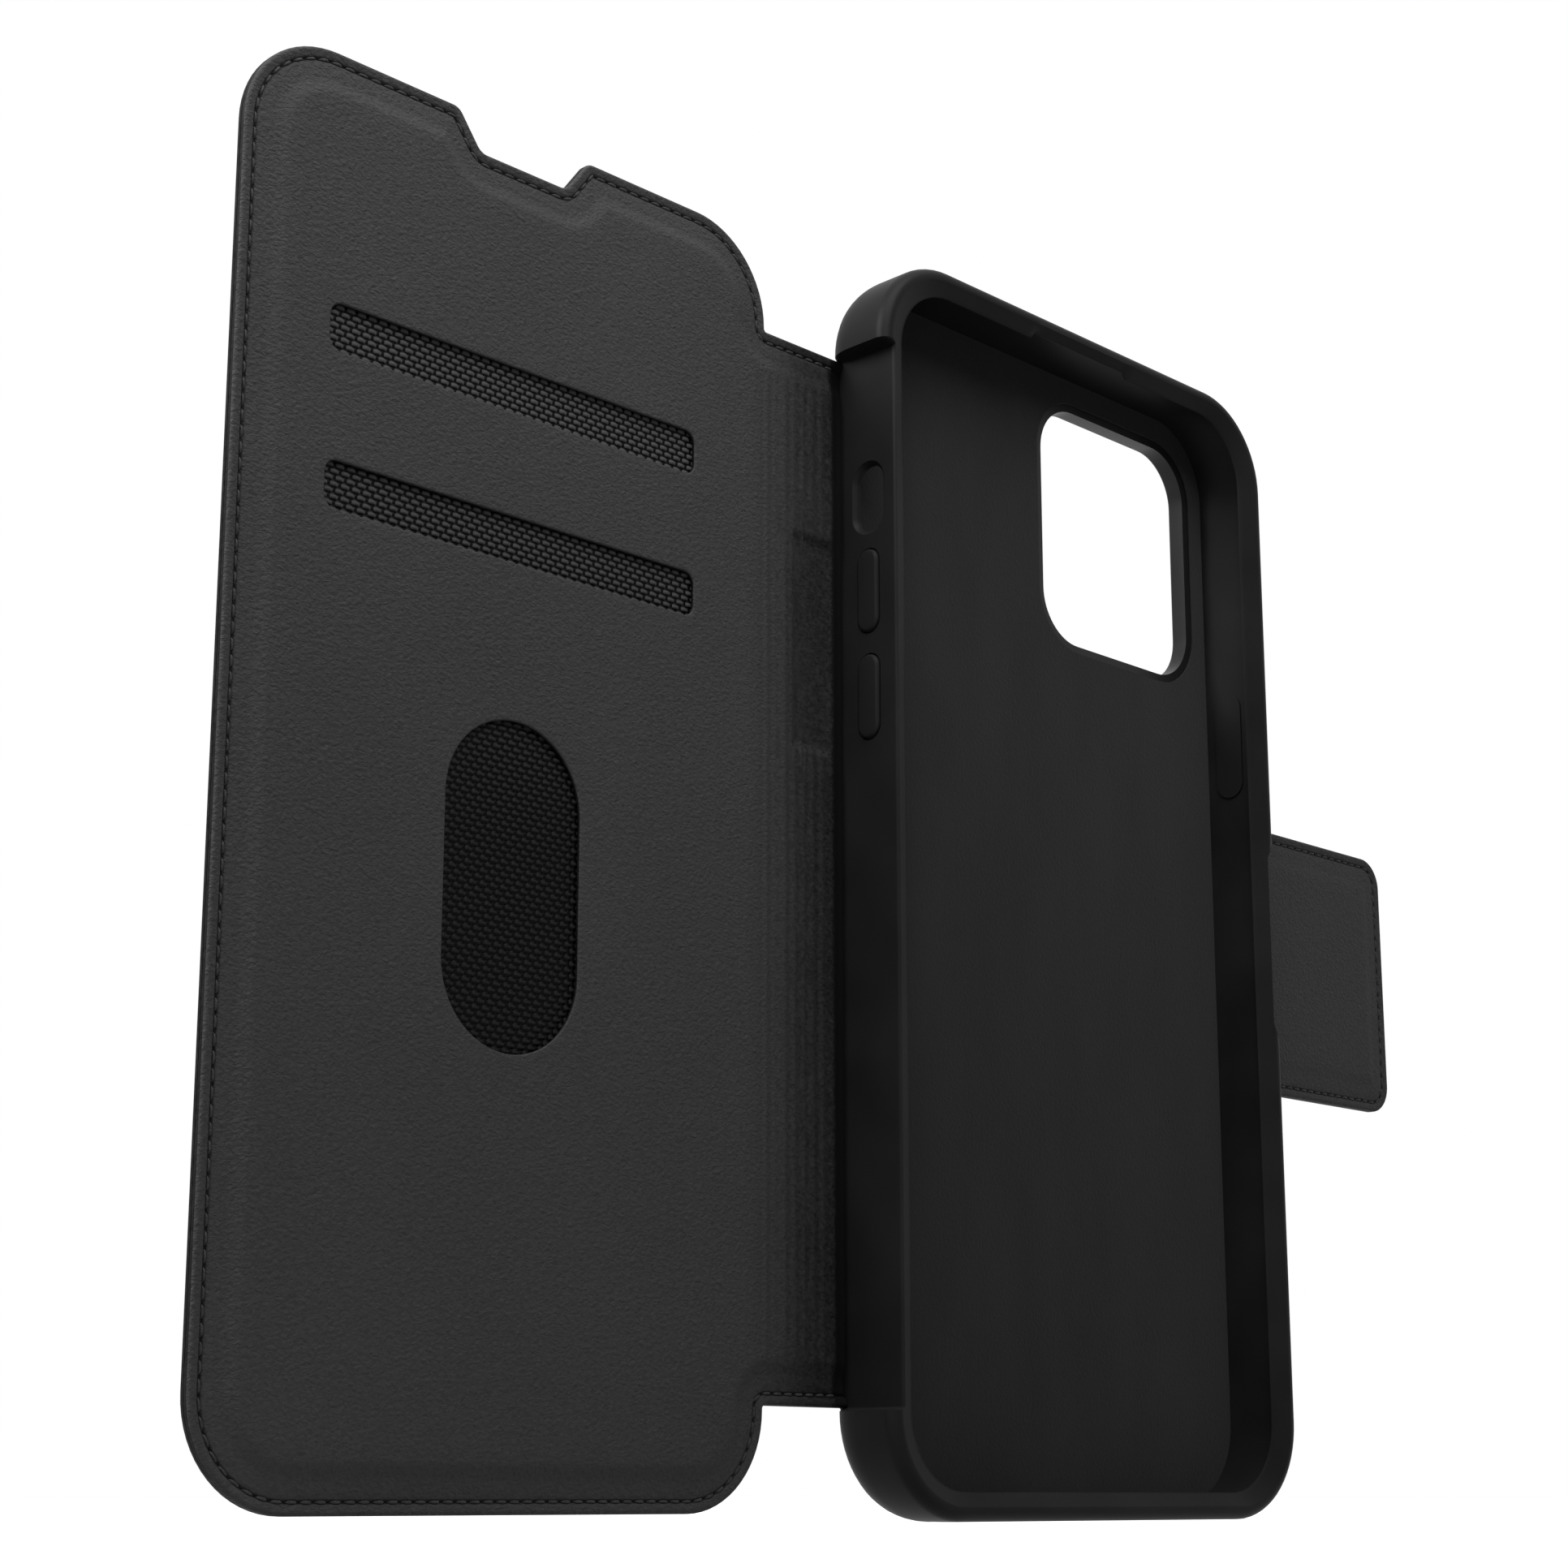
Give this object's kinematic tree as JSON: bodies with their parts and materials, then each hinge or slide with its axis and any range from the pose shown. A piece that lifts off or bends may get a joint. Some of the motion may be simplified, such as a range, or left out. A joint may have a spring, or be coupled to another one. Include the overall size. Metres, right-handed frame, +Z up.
{
  "type": "phone wallet case",
  "caption": "Folding phone case: a moulded tray, a leather cover with card slots on a flexible spine, and a magnetic latch that folds round the tray's side.",
  "frame": {"origin": "middle of the tray's flat leather back face", "axes": "+X to the right as the open case is read, +Y out of the back, +Z up along the phone"},
  "size_m": [0.2212, 0.0123, 0.166],
  "materials": {
    "elastomer": "matte moulded",
    "plastic": "satin",
    "lining": "microfibre",
    "leather": "fine grain, matte",
    "board": "pressed fibre",
    "pocket_fabric": "woven",
    "thread": "twisted thread",
    "steel": "plated"
  },
  "bodies": {
    "shell": {"bumper_frame": "elastomer", "back_plate": "plastic", "tray_lining": "lining", "back_leather": "leather", "camera_ring": "plastic"},
    "volume_up": {"volume_up_button": "elastomer"},
    "volume_down": {"volume_down_button": "elastomer"},
    "side_key": {"side_button": "elastomer"},
    "spine": {"spine_leather": "leather", "spine_stiffener": "board", "spine_liner": "leather", "spine_thread_top": "thread", "spine_thread_bottom": "thread"},
    "cover": {"cover_leather": "leather", "cover_board": "board", "keeper_plate": "steel", "pocket_lining": "pocket_fabric", "card_divider": "pocket_fabric", "cover_liner": "leather", "cover_thread": "thread"},
    "strap": {"strap_leather": "leather", "strap_liner": "leather", "strap_thread_top": "thread", "strap_thread_bottom": "thread"},
    "tab": {"tab_leather": "leather", "tab_board": "board", "tab_magnet": "steel", "tab_liner": "leather", "tab_thread": "thread"}
  },
  "joints": [
    {"name": "spine_fold", "type": "hinge", "parent": "shell", "child": "spine", "pos_m": [-0.04165, -0.0008, 0], "axis": [0, 0, 1], "range_deg": [-90, 90]},
    {"name": "cover_fold", "type": "hinge", "parent": "spine", "child": "cover", "pos_m": [-0.05495, -0.0008, 0], "axis": [0, 0, 1], "range_deg": [-90, 90]},
    {"name": "strap_fold", "type": "hinge", "parent": "shell", "child": "strap", "pos_m": [0.044, -0.0008, 0], "axis": [0, 0, -1], "range_deg": [-90, 90]},
    {"name": "tab_fold", "type": "hinge", "parent": "strap", "child": "tab", "pos_m": [0.061, -0.0008, 0], "axis": [0, 0, -1], "range_deg": [-90, 90]},
    {"name": "volume_up_press", "type": "slide", "parent": "shell", "child": "volume_up", "axis": [1, 0, 0], "range_m": [0, 0.0004], "stiffness_N_per_m": 300},
    {"name": "volume_down_press", "type": "slide", "parent": "shell", "child": "volume_down", "axis": [1, 0, 0], "range_m": [0, 0.0004], "stiffness_N_per_m": 300},
    {"name": "side_press", "type": "slide", "parent": "shell", "child": "side_key", "axis": [-1, 0, 0], "range_m": [0, 0.0004], "stiffness_N_per_m": 300}
  ],
  "couplings": [
    {"joint": "cover_fold", "follows": "spine_fold", "ratio": 1},
    {"joint": "tab_fold", "follows": "strap_fold", "ratio": 1}
  ]
}
